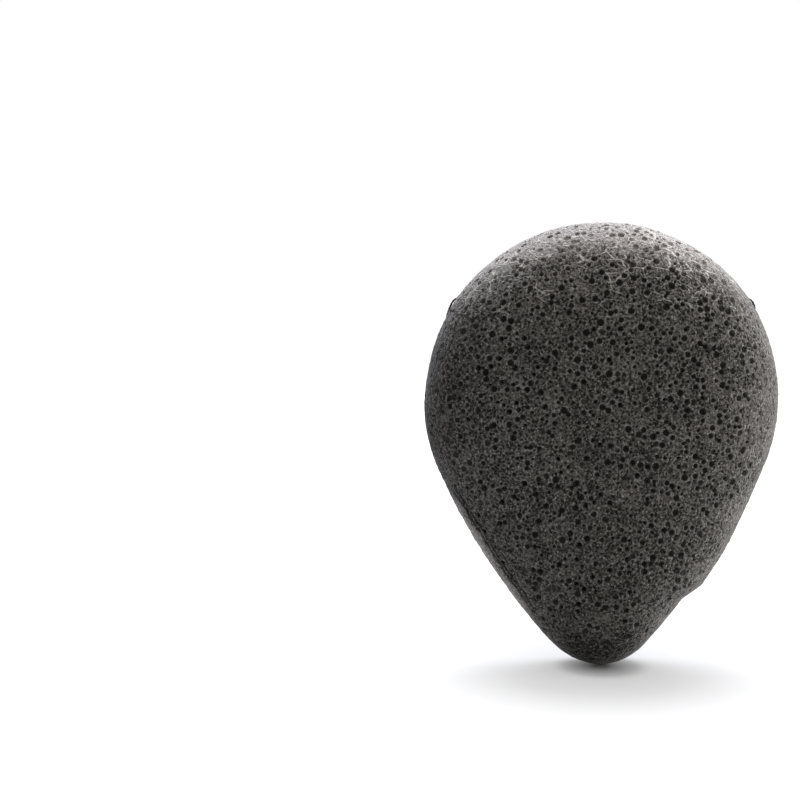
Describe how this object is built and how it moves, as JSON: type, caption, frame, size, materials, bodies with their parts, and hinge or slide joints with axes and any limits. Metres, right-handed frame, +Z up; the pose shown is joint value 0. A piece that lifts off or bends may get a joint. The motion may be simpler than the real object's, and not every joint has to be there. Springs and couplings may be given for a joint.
{
  "type": "konjac sponge",
  "caption": "Drop-shaped facial sponge of porous charcoal foam, domed in front and flat behind, with a thin looped hanging cord.",
  "frame": {"origin": "on the ground under the middle of the puff, level with the lowest point of its tip", "axes": "+Z up from the tip to the broad end, -Y out of the dome (front), +Y out of the flat back, +X to the right seen from the front"},
  "size_m": [0.079, 0.0325, 0.1],
  "materials": {
    "konjac_foam": "dry open-pored konjac foam dyed with bamboo charcoal, fully matt",
    "hanging_cord": "thin black twisted polyester thread, lightly waxed"
  },
  "bodies": {
    "sponge": {"sponge_body": "konjac_foam"},
    "hanging_loop": {"cord_core_run": "hanging_cord", "cord_left_strand": "hanging_cord", "cord_right_strand": "hanging_cord", "cord_knot": "hanging_cord", "cord_tails": "hanging_cord"}
  },
  "joints": [
    {"name": "loop_swing", "type": "hinge", "parent": "sponge", "child": "hanging_loop", "pos_m": [0, 0.009, 0.0825], "axis": [1, 0, 0], "range_deg": [0, 180]}
  ]
}
